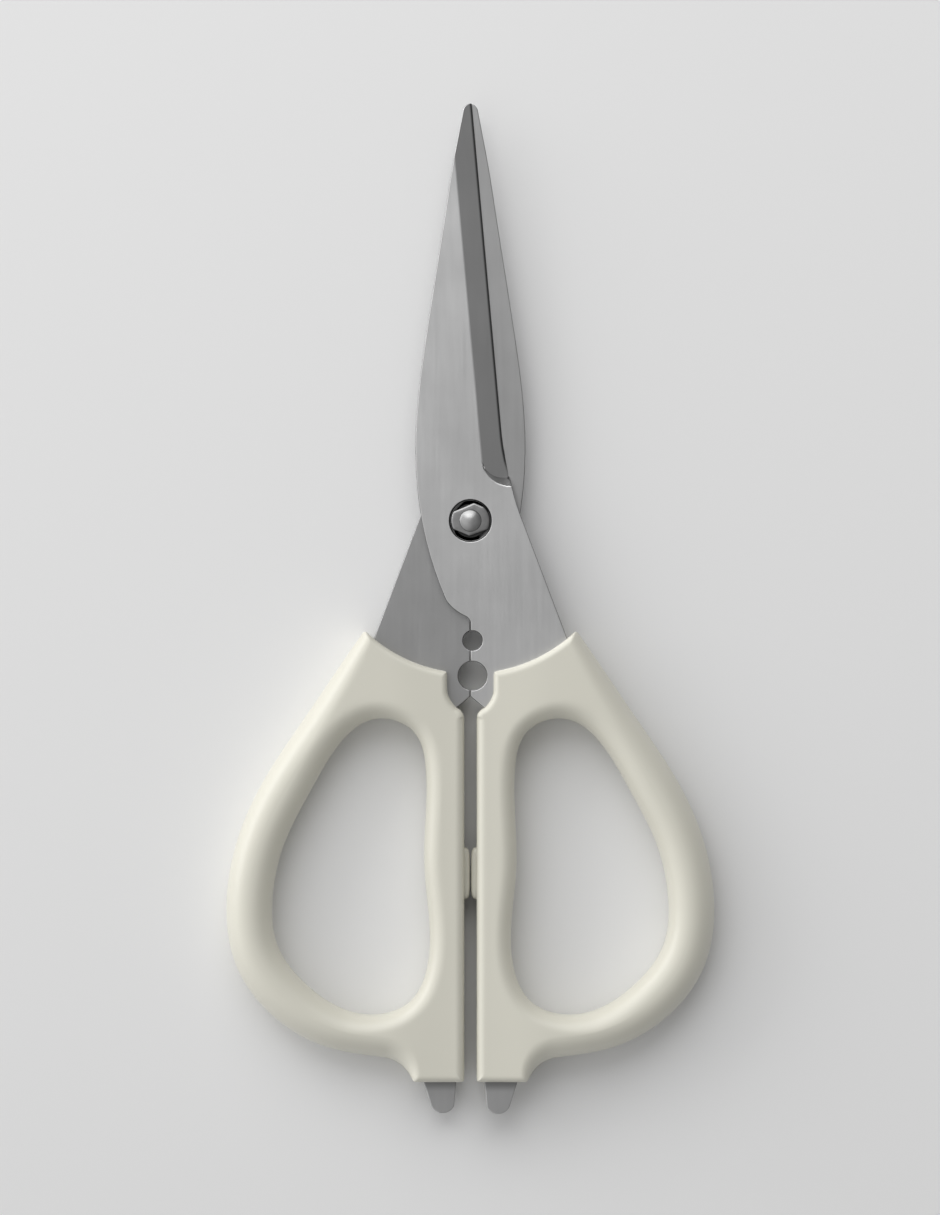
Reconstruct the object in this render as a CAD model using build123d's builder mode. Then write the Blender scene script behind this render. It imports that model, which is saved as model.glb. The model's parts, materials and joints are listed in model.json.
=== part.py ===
from build123d import *

import os
from math import cos, radians, sin, tan

# Poultry shears of the take-apart pattern, lying closed on one side with the tips towards +Y.
# Two equal blades cross at one pivot. The front blade lies on top and its tang runs down into
# the right handle; the back blade is the same forging turned over, in the left handle.
# Outlines are drawn about the pivot, for the front half: the blade's spine is on the left.
# All sizes are millimetres.

# ---------------------------------------------------------------- overall
tip_reach = 94.8            # pivot to the blade tips
tail_reach = 134.6          # pivot to the ends of the tang tabs
handle_reach = 127.25       # pivot to the flat ends of the handles
loop_reach = 121.9          # pivot to the lowest point of a finger loop's limb
half_width = 55.4           # centre line to the widest point of a handle
handle_depth = 12.0         # thickness of a handle, lying flat

# ---------------------------------------------------------------- blades
blade_depth = 2.6           # thickness of each blade
blade_gap = 0.06            # air between the two blades' meeting faces
belly_width = 12.5          # centre line to the spine at its fullest
belly_rise = 17.0           # the fullest point's distance above the pivot
tip_width = 1.75            # centre line to the spine at the tip
tip_round = 1.9             # height of the rounded tip
edge_lap = 0.3              # how far the cutting edge passes the centre line at the tip
edge_width = 7.1            # centre line to the lower end of the straight cutting edge
edge_rise = 19.5            # that point's distance above the pivot
heel_width = 8.3            # centre line to the heel, where the cutting edge ends
heel_rise = 12.6            # the heel's distance above the pivot
root_width = 11.25          # centre line to the outer edge where the straight tang begins
root_rise = 1.6             # that point's distance above the pivot
tang_lean = 20.7            # degrees between the tang's outer edge and the centre line
tang_straight = 29.6        # pivot to the lower end of that straight edge
bevel_width = 5.0           # width of the ground bevel
edge_depth = 0.35           # blade thickness left at the cutting edge
plunge_radius = 6.5         # curve of the bevel's end at the heel
plunge_rise = 7.8           # the bevel's end, above the pivot
face_offset = 0.05          # centre line to the blade's inner face beside the stripping holes
nose_start = 1.4            # the rounded nose of that face begins this far above the small hole
nose = [(-0.25, 2.55), (-1.2, 3.3), (-3.6, 4.8), (-5.8, 7.5)]   # across, and above the small hole
nose_slope = (-1, 0.45)     # direction of the nose where its arc ends
waist = (-9.5, -6.8)        # the spine beside the pivot
waist_slope = (-0.42, 1)    # direction of the spine where it leaves the nose
spine_low = (1.95, 0.29)    # the spine this much inside the belly, at this share of the way up
spine_high = (4.2, 0.68)    # the spine this much outside the tip, at this share of the way up
tip_slope = (0.2, 1)        # direction of the spine at the tip
tip_turn = (0.62, 0.27)     # middle of the rounded tip, as shares of its width and height
grind_reach = 40.0          # the grinding wheel reaches this far past the bevel
grind_margin = 20.0         # and this far past the tip
grind_taper = 40.0          # degrees of slope at the wheel's edge

# ---------------------------------------------------------------- stripping holes
small_hole_radius = 2.25
small_hole_drop = 27.2      # pivot to the small hole's centre
large_hole_radius = 3.3
large_hole_drop = 35.2      # pivot to the large hole's centre
hole_shift = 0.5            # both holes sit this far right of the centre line
chevron_drop = 39.9         # pivot to the point of the chevron
chevron_depth = 2.6         # height of the chevron's slope

# ---------------------------------------------------------------- tangs
tang_face = 3.2             # centre line to the tang's inner side, inside the handle
tang_width = 4.4            # width of the tang inside the inner bar
tab_width = 7.5             # width of the tab where it leaves the handle
tab_taper = 1.8             # how much the tab's outer side draws in before its round end
tab_inset = 0.5             # how much its inner side draws in
tab_round = 1.6             # height of its rounded end
tab_start = 1.0             # it has its full width this far above the loop's lowest point
tang_flare = 7.0            # the tang stands out this far past the bar above the opening
tang_flare_rise = 4.5       # that place, above the opening's top
tang_flare_slope = (0.2, -1)
bar_start = 12.0            # the tang runs straight from this far below the opening's top
bar_finish = 14.0           # to this far above its bottom

# ---------------------------------------------------------------- pivot
bush_radius = 3.8           # the front blade turns on this
running_clearance = 0.05    # radial air between the bush and the front blade
shim_clearance = 0.06       # air between the keeper and the floor of its recess
snug_clearance = 0.02       # radial air where the stud passes through its neighbours
stud_radius = 1.9
ear_reach = 0.65            # how far the keeper's two ears stand out past the bush
ear_clearance = 0.35        # radial air between the ears and the wall of their recess
recess_depth = 1.2          # depth of the round recess in the front blade
keeper_depth = 1.15
keeper_edge = 0.3           # rounding of the keeper's rim
# each flat of the keeper: the direction it faces in degrees, and its depth in from the bush
keeper_flats = [(113, 0.3), (67, -0.05), (-113, 0.45), (-70, 0.55)]
keeper_passage = 0.2        # air round the keeper as it lifts out of its keyhole
release_angle = 104         # degrees of opening at which the blades lift apart
dome_radius = 2.5           # riveted end of the stud
dome_height = 0.75
dome_land = 0.05            # straight side left below the dome's rounding
washer_radius = 5.2         # washer under the stud's head, behind the back blade
washer_depth = 0.6
washer_edge = 0.2
head_radius = 4.0
head_depth = 1.1
head_edge = 0.6

# ---------------------------------------------------------------- handles
shoulder_radius = 34.6      # the handle's top edge is an arc about the pivot
corner_angle = 46.0         # degrees below level of the handle's top corner
finger_gap = 1.4            # centre line to the handle's inner face
stop_reach = 1.25           # how far the stop stub stands out of that face
stop_length = 11.9
stop_drop = 80.05           # pivot to the middle of the stop stubs
stop_depth = 5.0
stop_round = 1.2
stop_root = 1.0             # how far the stub is rooted inside the handle
notch_width = 5.27          # centre line to the shoulder beside the stripping holes
notch_drop = 39.6           # pivot to where the shoulder starts back to the inner face
notch_round_drop = 44.7     # pivot to where it reaches the inner face
limb_width = 10.4           # width of the finger loop's outer limb
bar_width = 8.8             # width of the inner bar beside the finger gap
foot_width = 12.95          # centre line to the outer corner of the flat end
opening_top = 44.9          # pivot to the top of the finger opening
opening_foot = 112.2        # pivot to the bottom of the finger opening
limb_edge = 3.4             # rounding of the finger loop's edges
corner_slope = (0.58, -0.81)                # direction of the outer curve at the top corner
foot_slope = (-1, -0.12)                    # and where it meets the flare above the flat end
flare_width = 6.3           # the flare is this much wider than the flat end
flare_turn = (2.6, 1.7)     # middle of the flare: out from the flat end, and below the loop
# curves of the notch under the shoulder, across and up: from the finger gap's top, the first
# two; then the middle of the last curve and its end, in and down from the notch's side
notch_low = (0.5, 1.35)
notch_mid = (1.7, 2.2)
notch_high = (0.75, 1.2)
notch_side = 0.8            # the side turns into the curve this far above notch_drop
# places along the outer curve, as shares, where the opening runs a limb's width inside it
limb_places = (0.30, 0.42, 0.54, 0.66, 0.78)
opening_low = [(22.5, 0.0), (13.6, 3.1)]    # across, and up from the opening's bottom
opening_bar = (-0.4, 11.0)  # the lower end of the bar: past the bar's face, and up from the bottom
opening_swell = 0.25        # the bar's face stands out this far half way
opening_neck = (-0.1, 12.0)                 # its upper end: past the face, and below the top
opening_high = [(13.0, 2.9), (19.6, 0.0)]   # across, and below the opening's top

# ---------------------------------------------------------------- places worked out from the sizes
keeper_radius = bush_radius + ear_reach
recess_radius = keeper_radius + ear_clearance
pivot_y = (tail_reach - tip_reach) / 2      # the origin is under the middle of the whole length
middle_z = handle_depth / 2
front_face_z = middle_z + blade_gap / 2     # underside of the front blade
back_face_z = middle_z - blade_gap / 2      # top of the back blade
recess_floor_z = front_face_z + blade_depth - recess_depth
keeper_z = recess_floor_z + shim_clearance
back_outer_z = back_face_z - blade_depth
corner_x = shoulder_radius * cos(radians(corner_angle))
corner_drop = shoulder_radius * sin(radians(corner_angle))


def about_pivot(height):
    """Level plane at a height, with its origin on the pivot's axis."""
    return Plane(origin=(0, pivot_y, height))


def toward(angle, reach):
    """Point at a distance from the pivot, in a direction given in degrees."""
    return (reach * cos(radians(angle)), reach * sin(radians(angle)))


# ---------------------------------------------------------------- blade blank
def blade_outline():
    """Outline of a blade and its tang, spine to the left, tang down to the right."""
    spine_run = tip_reach - tip_round - belly_rise
    hole_top = small_hole_drop - small_hole_radius
    nose_line = [(across, -hole_top + up) for across, up in nose]
    lean = radians(tang_lean)
    root_end = (root_width + (root_rise + tang_straight) * tan(lean), -tang_straight)
    tang_outer = tang_face + tang_width
    tab_outer = tang_face + tab_width
    with BuildLine() as outline:
        # cutting edge, heel and the straight outer edge of the tang
        Line((edge_lap, tip_reach), (edge_width, edge_rise))
        heel = Spline(
            (edge_width, edge_rise),
            (heel_width, heel_rise),
            (root_width, root_rise),
            tangents=[(edge_width - edge_lap, edge_rise - tip_reach), (sin(lean), -cos(lean))],
        )
        Line(heel @ 1, root_end)
        # the tang draws in below the shoulder and runs down the inner bar
        Spline(
            root_end,
            (tang_outer + tang_flare, -opening_top + tang_flare_rise),
            (tang_outer, -opening_top - bar_start),
            tangents=[tang_flare_slope, (0, -1)],
        )
        Line((tang_outer, -opening_top - bar_start), (tang_outer, -opening_foot + bar_finish))
        Spline(
            (tang_outer, -opening_foot + bar_finish),
            (tab_outer, -loop_reach + tab_start),
            tangents=[(0, -1), (0, -1)],
        )
        Line((tab_outer, -loop_reach + tab_start), (tab_outer, -handle_reach))
        # tapered tab with a round end
        round_drop = tail_reach - tab_round
        Line((tab_outer, -handle_reach), (tab_outer - tab_taper, -round_drop))
        ThreePointArc(
            (tab_outer - tab_taper, -round_drop),
            (tang_face + tab_width / 2 - tab_inset, -tail_reach),
            (tang_face + tab_inset, -round_drop),
        )
        Line((tang_face + tab_inset, -round_drop), (tang_face, -handle_reach))
        Line((tang_face, -handle_reach), (tang_face, -chevron_drop - chevron_depth))
        # chevron, inner face, and the rounded shoulder above the stripping holes
        Line((tang_face, -chevron_drop - chevron_depth), (face_offset, -chevron_drop))
        Line((face_offset, -chevron_drop), (face_offset, -hole_top + nose_start))
        ThreePointArc((face_offset, -hole_top + nose_start), nose_line[0], nose_line[1])
        Spline(*nose_line[1:], tangents=[nose_slope, waist_slope])
        # spine: up round the belly, then almost straight to the tip
        spine = Spline(
            nose_line[-1],
            waist,
            (-belly_width, belly_rise),
            (-belly_width + spine_low[0], belly_rise + spine_low[1] * spine_run),
            (-tip_width - spine_high[0], belly_rise + spine_high[1] * spine_run),
            (-tip_width, tip_reach - tip_round),
            tangents=[waist_slope, tip_slope],
        )
        tip_middle = (-tip_width * tip_turn[0], tip_reach - tip_round * tip_turn[1])
        ThreePointArc(spine @ 1, tip_middle, (edge_lap, tip_reach))
    return outline.edges()


# material ground away above the sloping bevel; its end at the heel is a curved plunge
bevel_slip = (edge_width - edge_lap) / (edge_rise - tip_reach)
bevel_line = edge_width - bevel_width
with BuildPart() as grind:
    with BuildSketch(Plane.XY.offset(blade_depth)):
        with BuildLine():
            top_y = tip_reach + grind_margin
            top_x = bevel_line + (top_y - edge_rise) * bevel_slip
            turn_y = plunge_rise + plunge_radius
            turn_x = bevel_line + (turn_y - edge_rise) * bevel_slip
            Line((top_x, top_y), (turn_x, turn_y))
            RadiusArc(
                (turn_x, turn_y),
                (turn_x + plunge_radius, plunge_rise),
                -plunge_radius,
            )
            Polyline(
                (turn_x + plunge_radius, plunge_rise),
                (turn_x + grind_reach, plunge_rise),
                (turn_x + grind_reach, top_y),
                (top_x, top_y),
            )
        make_face()
    extrude(amount=-2 * blade_depth, taper=grind_taper)
    slope = Plane(
        origin=(bevel_line, edge_rise, blade_depth),
        x_dir=(bevel_slip, 1, 0),
        z_dir=(blade_depth - edge_depth, -bevel_slip * (blade_depth - edge_depth), bevel_width),
    )
    split(bisect_by=slope, keep=Keep.TOP)

with BuildPart() as blank:
    with BuildSketch(Plane.XY):
        make_face(blade_outline())
    extrude(amount=blade_depth)
    add(grind.part, mode=Mode.SUBTRACT)


# ---------------------------------------------------------------- keeper outline
def keeper_outline(turn, spare):
    """Round plate with four flats, turned by some degrees and grown by spare.

    Each flat faces a direction in degrees and is cut in from the bush's radius by a depth.
    """
    Circle(keeper_radius + spare)
    for direction, depth in keeper_flats:
        middle = toward(direction + turn, bush_radius - depth + spare + keeper_radius)
        with Locations(Location((middle[0], middle[1], 0), (0, 0, direction + turn))):
            Rectangle(2 * keeper_radius, 6 * keeper_radius, mode=Mode.SUBTRACT)


def stripping_notches(shift):
    """Half-round notches of the two stripping holes, in the blade's inner face."""
    with Locations((shift, -small_hole_drop)):
        Circle(small_hole_radius)
    with Locations((shift, -large_hole_drop)):
        Circle(large_hole_radius)


# ---------------------------------------------------------------- front blade
with BuildPart() as front_blade:
    add(blank.part.moved(Location((0, pivot_y, front_face_z))))
    with BuildSketch(about_pivot(front_face_z)):
        stripping_notches(hole_shift)
    extrude(amount=blade_depth, mode=Mode.SUBTRACT)
    with BuildSketch(about_pivot(front_face_z)):
        Circle(bush_radius + running_clearance)
    extrude(amount=blade_depth, mode=Mode.SUBTRACT)
    with BuildSketch(about_pivot(front_face_z)):
        keeper_outline(-release_angle, keeper_passage)
    extrude(amount=blade_depth, mode=Mode.SUBTRACT)
    with BuildSketch(about_pivot(recess_floor_z)):
        Circle(recess_radius)
    extrude(amount=recess_depth, mode=Mode.SUBTRACT)
front_blade.part.label = "front_blade"

# ---------------------------------------------------------------- back blade
with BuildPart() as back_blade:
    add(blank.part.moved(Location((0, pivot_y, back_face_z), (0, 180, 0))))
    with BuildSketch(about_pivot(back_face_z)):
        stripping_notches(hole_shift)
    extrude(amount=-blade_depth, mode=Mode.SUBTRACT)
    with BuildSketch(about_pivot(back_face_z)):
        Circle(stud_radius + snug_clearance)
    extrude(amount=-blade_depth, mode=Mode.SUBTRACT)
back_blade.part.label = "back_blade"

# ---------------------------------------------------------------- pivot
with BuildPart() as pivot_bush:
    with BuildSketch(about_pivot(back_face_z)):
        Circle(bush_radius)
        Circle(stud_radius + snug_clearance, mode=Mode.SUBTRACT)
    extrude(amount=keeper_z - back_face_z)
pivot_bush.part.label = "pivot_bush"

with BuildPart() as keeper_wing:
    with BuildSketch(about_pivot(keeper_z)):
        keeper_outline(0, 0)
        Circle(stud_radius + snug_clearance, mode=Mode.SUBTRACT)
    extrude(amount=keeper_depth)
    ear_rim = keeper_wing.faces().sort_by(Axis.Z)[-1].outer_wire().edges()
    fillet(ear_rim, radius=keeper_edge)
keeper_wing.part.label = "keeper_wing"

with BuildPart() as back_washer:
    with BuildSketch(about_pivot(back_outer_z)):
        Circle(washer_radius)
        Circle(stud_radius + snug_clearance, mode=Mode.SUBTRACT)
    extrude(amount=-washer_depth)
    low_rims = back_washer.edges().filter_by(GeomType.CIRCLE).group_by(Axis.Z)[0]
    chamfer(low_rims.sort_by(SortBy.RADIUS)[-1], length=washer_edge)
back_washer.part.label = "back_washer"

# the stud: a low round head behind, a plain shank, and an end riveted over the keeper
head_z = back_outer_z - washer_depth
rivet_z = keeper_z + keeper_depth
with BuildPart() as pivot_stud:
    with BuildSketch(about_pivot(head_z - head_depth)):
        Circle(head_radius)
    extrude(amount=head_depth)
    fillet(pivot_stud.edges().filter_by(GeomType.CIRCLE).group_by(Axis.Z)[0], radius=head_edge)
    with BuildSketch(about_pivot(head_z)):
        Circle(stud_radius)
    extrude(amount=rivet_z - head_z)
    with BuildSketch(about_pivot(rivet_z)):
        Circle(dome_radius)
    extrude(amount=dome_height)
    dome_rim = pivot_stud.edges().filter_by(GeomType.CIRCLE).group_by(Axis.Z)[-1]
    fillet(dome_rim, radius=dome_height - dome_land)
pivot_stud.part.label = "pivot_stud"


# ---------------------------------------------------------------- handles
# shape of the finger loop's outer curve, as shares of its own width and length
limb_shape = [
    (0.187, 0.087),
    (0.458, 0.216),
    (0.748, 0.361),
    (0.936, 0.506),
    (1.0, 0.654),
    (0.927, 0.787),
    (0.697, 0.893),
    (0.305, 0.972),
]


def limb_points(side):
    """Points of the outer curve, from the top corner round to above the flat end."""
    width = half_width - corner_x
    length = loop_reach - corner_drop
    inner = [(corner_x + share * width, -corner_drop - drop * length) for share, drop in limb_shape]
    ends = [(corner_x, -corner_drop), (foot_width + flare_width, -loop_reach)]
    return [(side * x, y) for x, y in [ends[0]] + inner + [ends[1]]]


def handle_outline(side):
    """Outline of a handle without its finger opening; side is 1 on the right, -1 on the left."""
    notch_y = -(shoulder_radius**2 - notch_width**2) ** 0.5
    middle = toward(-(90 + corner_angle) / 2, shoulder_radius)
    with BuildLine() as outline:
        Spline(
            *limb_points(side),
            tangents=[(side * corner_slope[0], corner_slope[1]), (side * foot_slope[0], foot_slope[1])],
        )
        ThreePointArc(
            (side * (foot_width + flare_width), -loop_reach),
            (side * (foot_width + flare_turn[0]), -loop_reach - flare_turn[1]),
            (side * foot_width, -handle_reach),
        )
        Polyline(
            (side * foot_width, -handle_reach),
            (side * finger_gap, -handle_reach),
            (side * finger_gap, -notch_round_drop),
        )
        ThreePointArc(
            (side * finger_gap, -notch_round_drop),
            (side * (finger_gap + notch_low[0]), -notch_round_drop + notch_low[1]),
            (side * (finger_gap + notch_mid[0]), -notch_round_drop + notch_mid[1]),
        )
        ThreePointArc(
            (side * (finger_gap + notch_mid[0]), -notch_round_drop + notch_mid[1]),
            (side * (notch_width - notch_high[0]), -notch_drop - notch_high[1]),
            (side * notch_width, -notch_drop + notch_side),
        )
        Line((side * notch_width, -notch_drop + notch_side), (side * notch_width, notch_y))
        ThreePointArc(
            (side * notch_width, notch_y),
            (side * middle[0], middle[1]),
            (side * corner_x, -corner_drop),
        )
    return outline.edges()


def opening_outline(side):
    """The finger opening: a limb's width inside the outer curve, and straight along the bar."""
    outer = Edge.make_spline([Vector(x, y) for x, y in limb_points(1)])
    bar_face = finger_gap + bar_width
    along_limb = []
    for share in limb_places:
        place = outer @ share
        run = outer % share
        along_limb.append((place.X + limb_width * run.Y, place.Y - limb_width * run.X))
    low = [(across, -opening_foot + up) for across, up in opening_low]
    bar = [
        (bar_face + opening_bar[0], -opening_foot + opening_bar[1]),
        (bar_face + opening_swell, -(opening_top + opening_foot) / 2),
        (bar_face + opening_neck[0], -opening_top - opening_neck[1]),
    ]
    high = [(across, -opening_top - down) for across, down in opening_high]
    points = along_limb + low + bar + high
    with BuildLine() as outline:
        Spline(*[(side * x, y) for x, y in points], periodic=True)
    return outline.edges()


def mould_handle(side, tang):
    """One handle, moulded round the tang of its blade."""
    stub_plane = Plane(origin=(0, pivot_y - stop_drop, middle_z), x_dir=(0, 1, 0), z_dir=(side, 0, 0))
    with BuildPart() as handle:
        with BuildSketch(about_pivot(0)):
            make_face(handle_outline(side))
        extrude(amount=handle_depth)
        with BuildSketch(about_pivot(0)):
            make_face(opening_outline(side))
        extrude(amount=handle_depth, mode=Mode.SUBTRACT)
        level_edges = handle.edges().filter_by(Plane.XY)
        flare = level_edges.filter_by(GeomType.CIRCLE).group_by(Axis.Y)[0]
        fillet(level_edges.filter_by(GeomType.BSPLINE) + flare, radius=limb_edge)
        with BuildSketch(stub_plane.offset(finger_gap - stop_reach)):
            RectangleRounded(stop_length, stop_depth, stop_round)
        extrude(amount=stop_reach + stop_root)
        add(tang, mode=Mode.SUBTRACT)
    return handle.part


right_handle = mould_handle(1, front_blade.part)
right_handle.label = "right_handle"
left_handle = mould_handle(-1, back_blade.part)
left_handle.label = "left_handle"

# ---------------------------------------------------------------- one file for each piece
os.makedirs("parts", exist_ok=True)
export_step(front_blade.part, "parts/front_blade.step")
export_step(back_blade.part, "parts/back_blade.step")
export_step(right_handle, "parts/right_handle.step")
export_step(left_handle, "parts/left_handle.step")
export_step(pivot_bush.part, "parts/pivot_bush.step")
export_step(pivot_stud.part, "parts/pivot_stud.step")
export_step(keeper_wing.part, "parts/keeper_wing.step")
export_step(back_washer.part, "parts/back_washer.step")
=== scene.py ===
import json
from math import cos, hypot, pi, radians, sin

import bmesh
import bpy
import numpy as np
from bpy.props import FloatProperty, FloatVectorProperty, PointerProperty
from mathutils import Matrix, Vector


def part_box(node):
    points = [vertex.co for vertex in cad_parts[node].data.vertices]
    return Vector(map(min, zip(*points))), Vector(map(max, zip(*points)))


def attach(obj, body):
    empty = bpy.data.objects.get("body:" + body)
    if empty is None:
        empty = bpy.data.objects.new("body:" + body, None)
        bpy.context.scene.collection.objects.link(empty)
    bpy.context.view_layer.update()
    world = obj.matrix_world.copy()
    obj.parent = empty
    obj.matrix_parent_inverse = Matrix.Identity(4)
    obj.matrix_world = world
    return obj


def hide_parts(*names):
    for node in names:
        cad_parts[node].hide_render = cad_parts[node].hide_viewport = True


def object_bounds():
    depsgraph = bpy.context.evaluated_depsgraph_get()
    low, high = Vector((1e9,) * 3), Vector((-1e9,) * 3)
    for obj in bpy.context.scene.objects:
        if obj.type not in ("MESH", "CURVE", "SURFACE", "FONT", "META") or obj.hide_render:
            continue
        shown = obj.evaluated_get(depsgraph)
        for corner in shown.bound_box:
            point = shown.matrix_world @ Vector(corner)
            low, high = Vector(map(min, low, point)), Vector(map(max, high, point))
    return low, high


bl_info = {
    "name": "Poultry Shears",
    "version": (1, 0, 0),
    "blender": (4, 5, 0),
    "location": "View3D > Sidebar > Shears",
    "description": "Dresses a pair of take-apart poultry shears: handles, blades, pivot and stage",
    "category": "Object",
}

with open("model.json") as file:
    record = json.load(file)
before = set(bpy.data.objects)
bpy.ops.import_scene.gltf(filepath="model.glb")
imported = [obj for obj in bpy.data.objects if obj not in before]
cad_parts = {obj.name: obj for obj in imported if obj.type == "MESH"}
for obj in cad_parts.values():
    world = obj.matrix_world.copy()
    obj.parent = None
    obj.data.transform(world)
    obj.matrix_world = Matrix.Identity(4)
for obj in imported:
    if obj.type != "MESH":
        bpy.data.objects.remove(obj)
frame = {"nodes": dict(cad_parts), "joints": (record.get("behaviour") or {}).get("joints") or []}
cad_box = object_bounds()

MM = 0.001
BACK, FRONT = "back_half", "front_half"
PIVOT = Vector(frame["joints"][0]["pos_m"])
HANDLE_LOW, HANDLE_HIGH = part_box("right_handle")
MIDDLE_HEIGHT = (HANDLE_LOW.z + HANDLE_HIGH.z) / 2 / MM


# ---------------------------------------------------------------- curves in the plane, in millimetres
def curve_through(points, count, start=None, end=None, closed=False):
    """Smooth curve through points: a cubic for each run, with slopes that make the bend continuous."""
    p = np.array(points, float)
    if closed:
        p = np.vstack([p, p[:1]])
    runs = np.linalg.norm(np.diff(p, axis=0), axis=1)
    knots = np.concatenate([[0], np.cumsum(runs)])
    n = len(p)
    system = np.zeros((n, n))
    right = np.zeros((n, 2))
    inside = np.arange(1, n - 1)
    before, after = runs[:-1], runs[1:]
    system[inside, inside - 1] = 1 / before
    system[inside, inside] = 2 / before + 2 / after
    system[inside, inside + 1] = 1 / after
    steps = np.diff(p, axis=0)
    right[inside] = 3 * (steps[:-1] / before[:, None] ** 2 + steps[1:] / after[:, None] ** 2)
    if closed:
        system[0, [0, 1, n - 2]] = [2 / runs[0] + 2 / runs[-1], 1 / runs[0], 1 / runs[-1]]
        right[0] = 3 * (steps[0] / runs[0] ** 2 + steps[-1] / runs[-1] ** 2)
        system[n - 1, [0, n - 1]] = [1, -1]
    else:
        system[0, 0] = system[n - 1, n - 1] = 1
        right[0] = steps[0] / runs[0] if start is None else np.array(start) / hypot(*start)
        right[n - 1] = steps[-1] / runs[-1] if end is None else np.array(end) / hypot(*end)
    slopes = np.linalg.solve(system, right)
    at = np.linspace(0, knots[-1], count)
    run = np.clip(np.searchsorted(knots, at, side="right") - 1, 0, n - 2)
    h = runs[run][:, None]
    t = ((at - knots[run])[:, None]) / h
    return (
        (2 * t**3 - 3 * t**2 + 1) * p[run]
        + (t**3 - 2 * t**2 + t) * h * slopes[run]
        + (3 * t**2 - 2 * t**3) * p[run + 1]
        + (t**3 - t**2) * h * slopes[run + 1]
    )


def arc_through(first, middle, last, count):
    """Arc of the circle through three points, from the first to the last by way of the middle."""
    a, b, c = (complex(*point) for point in (first, middle, last))
    w = (c - a) / (b - a)
    centre = (b - a) * (w - abs(w) ** 2) / (2j * w.imag) + a
    start = np.angle(a - centre)
    turn = np.angle((c - centre) / (a - centre))
    to_middle = np.angle((b - centre) / (a - centre))
    if turn * to_middle < 0 or abs(to_middle) > abs(turn):
        turn -= np.sign(turn) * 2 * pi
    z = centre + abs(a - centre) * np.exp(1j * (start + turn * np.linspace(0, 1, count)))
    return np.stack([z.real, z.imag], 1)


def straight(first, last, count):
    """Points evenly spaced along a straight line."""
    t = np.linspace(0, 1, count)[:, None]
    return np.array(first) * (1 - t) + np.array(last) * t


def spaced(points, step, turn_weight=0.0):
    """A closed line's points spaced anew, closer together where the line turns."""
    loop = np.vstack([points, points[:1]])
    steps = np.diff(loop, axis=0)
    length = np.linalg.norm(steps, axis=1)
    heading = np.unwrap(np.arctan2(steps[:, 1], steps[:, 0]))
    whole_turns = round((heading[-1] - heading[0]) / (2 * pi))
    turning = np.abs(np.diff(np.append(heading, heading[0] + whole_turns * 2 * pi)))
    measure = np.concatenate([[0], np.cumsum(length + turn_weight * turning)])
    count = int(round(measure[-1] / step))
    at = np.arange(count) * measure[-1] / count
    return np.stack([np.interp(at, measure, loop[:, k]) for k in (0, 1)], 1)


def softened(values, spread, step):
    """A closed row of values averaged along itself with a bell curve of the given spread."""
    reach = int(4 * spread / step) + 1
    bell = np.exp(-0.5 * (np.arange(-reach, reach + 1) * step / spread) ** 2)
    bell /= bell.sum()
    padded = np.concatenate([values[-reach:], values, values[:reach]])
    if values.ndim == 1:
        return np.convolve(padded, bell, "valid")
    return np.stack([np.convolve(padded[:, k], bell, "valid") for k in range(values.shape[1])], 1)


def nearest(points, line):
    """Distance from each point to an open line, and the place on the line, in samples."""
    first, last = line[:-1], line[1:]
    run = last - first
    square = (run**2).sum(1)
    closest = np.empty(len(points), int)
    for block in np.array_split(np.arange(len(points)), max(1, len(points) // 1500)):
        x, y = points[block, 0], points[block, 1]
        closest[block] = ((x[:, None] - line[:, 0]) ** 2 + (y[:, None] - line[:, 1]) ** 2).argmin(1)
    distance, place = np.full(len(points), np.inf), np.zeros(len(points))
    for k in (np.clip(closest - 1, 0, len(run) - 1), np.clip(closest, 0, len(run) - 1)):
        offset = points - first[k]
        t = np.clip((offset * run[k]).sum(1) / square[k], 0, 1)
        gap = np.linalg.norm(offset - t[:, None] * run[k], axis=1)
        better = gap < distance
        distance[better], place[better] = gap[better], (k + t)[better]
    return distance, place


# ---------------------------------------------------------------- meshes
def ring_faces(rows, columns):
    """Quads of a grid that closes on itself both ways: along its rows and along its columns."""
    i, j = np.meshgrid(np.arange(rows), np.arange(columns), indexing="ij")
    ni, nj = (i + 1) % rows, (j + 1) % columns
    quads = np.stack([i * columns + j, ni * columns + j, ni * columns + nj, i * columns + nj], -1)
    return quads.reshape(-1, 4).tolist()


def flipped(faces):
    """Faces wound the other way, for a mirrored piece."""
    return [face[::-1] for face in faces]


def new_piece(name, points, faces, body, slot, *replaced):
    """Object made from an array of points in metres and a list of faces, riding on a body."""
    mesh = bpy.data.meshes.new(name)
    mesh.from_pydata(points.tolist(), [], faces)
    mesh.update()
    mesh.shade_smooth()
    piece = bpy.data.objects.new(name, mesh)
    bpy.context.scene.collection.objects.link(piece)
    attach(piece, body)
    if replaced:
        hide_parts(*replaced)
    return piece


# ---------------------------------------------------------------- handle shape
LIMB_SHAPE = [
    (0.187, 0.087),
    (0.458, 0.216),
    (0.748, 0.361),
    (0.936, 0.506),
    (1.0, 0.654),
    (0.927, 0.787),
    (0.697, 0.893),
    (0.305, 0.972),
]
SHOULDER = 34.6
CORNER_ANGLE = radians(46.0)
LOOP_FOOT = 121.9
FLAT_END = 127.25
FOOT_WIDTH = 12.95
NOTCH_WIDTH = 5.27
NOTCH_TURN = 39.6
NOTCH_FOOT = 44.7
GAP = 1.4
LIMB_WIDTH = 10.4
BAR_WIDTH = 8.8
OPENING_TOP = 44.9
OPENING_FOOT = 112.2
HALF_WIDTH = HANDLE_HIGH.x / MM
CORNER_SLOPE = (0.58, -0.81)
FOOT_SLOPE = (-1, -0.12)
FLARE_WIDTH = 6.3
FLARE_TURN = (2.6, 1.7)
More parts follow.
